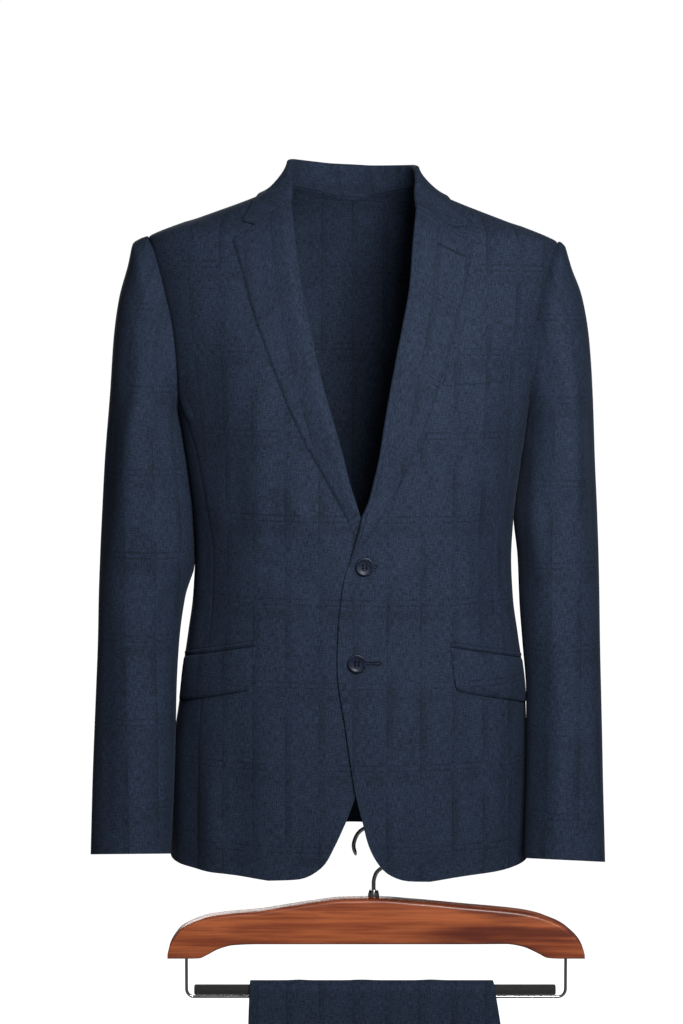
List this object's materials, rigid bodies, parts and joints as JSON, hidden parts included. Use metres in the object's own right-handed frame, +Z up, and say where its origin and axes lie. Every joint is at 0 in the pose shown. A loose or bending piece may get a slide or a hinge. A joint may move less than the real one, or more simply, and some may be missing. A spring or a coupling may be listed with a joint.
{
  "type": "two-piece suit on a trouser hanger",
  "caption": "Worn-form notched-lapel suit jacket, open and hollow, with its trousers folded over the bar of a wooden hanger.",
  "frame": {"origin": "where the wearer's neck and shoulders carry the jacket, on the neck's axis", "axes": "+Z up, the front faces -Y, the wearer's left is +X"},
  "size_m": [0.5651, 0.2597, 1.5221],
  "materials": {
    "suit_cloth": "navy worsted wool with a faint tonal window check",
    "button_resin": "dark navy resin, polished rim",
    "hanger_wood": "red-brown varnished hardwood",
    "hanger_chrome": "bright chrome",
    "tube_rubber": "matt black non-slip sleeve"
  },
  "bodies": {
    "root": {"front_left": "suit_cloth", "front_right": "suit_cloth", "side_left": "suit_cloth", "side_right": "suit_cloth", "back_left": "suit_cloth", "back_right": "suit_cloth", "lapel_left": "suit_cloth", "lapel_right": "suit_cloth", "collar": "suit_cloth", "sleeve_top_left": "suit_cloth", "sleeve_under_left": "suit_cloth", "sleeve_top_right": "suit_cloth", "sleeve_under_right": "suit_cloth", "welt_breast": "suit_cloth", "jetting_left": "suit_cloth", "jetting_right": "suit_cloth", "flap_left": "suit_cloth", "flap_right": "suit_cloth", "button_top": "button_resin", "button_lower": "button_resin", "leg_left": "suit_cloth", "leg_right": "suit_cloth", "waistband_left": "suit_cloth", "waistband_right": "suit_cloth", "pocket_left": "suit_cloth", "pocket_right": "suit_cloth", "hanger_wood": "hanger_wood", "hanger_wire": "hanger_chrome", "hanger_tube": "tube_rubber", "hanger_hook": "hanger_chrome", "hanger_ferrule": "hanger_chrome"}
  },
  "joints": []
}
